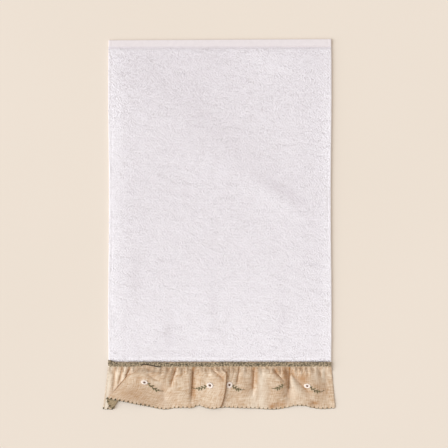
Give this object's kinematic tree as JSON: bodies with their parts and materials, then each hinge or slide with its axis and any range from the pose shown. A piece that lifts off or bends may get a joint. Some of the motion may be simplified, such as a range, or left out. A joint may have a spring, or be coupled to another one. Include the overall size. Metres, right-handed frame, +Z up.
{
  "type": "hand towel",
  "caption": "Terry hand towel lying face up, with hemmed edges, a gathered linen frill sewn across its lower end and a flat gimp braid over the seam.",
  "frame": {"origin": "on the table, under the middle of the whole towel's box", "axes": "+X across the towel, +Y from the frill to the top hem, +Z up off the table"},
  "size_m": [0.312, 0.4986, 0.0114],
  "materials": {
    "terry": "white cotton terry pile",
    "linen": "natural slubby linen, plain weave",
    "gimp": "matt plaited yarn"
  },
  "bodies": {
    "root": {"terry_panel": "terry", "frill": "linen", "braid": "gimp"}
  },
  "joints": []
}
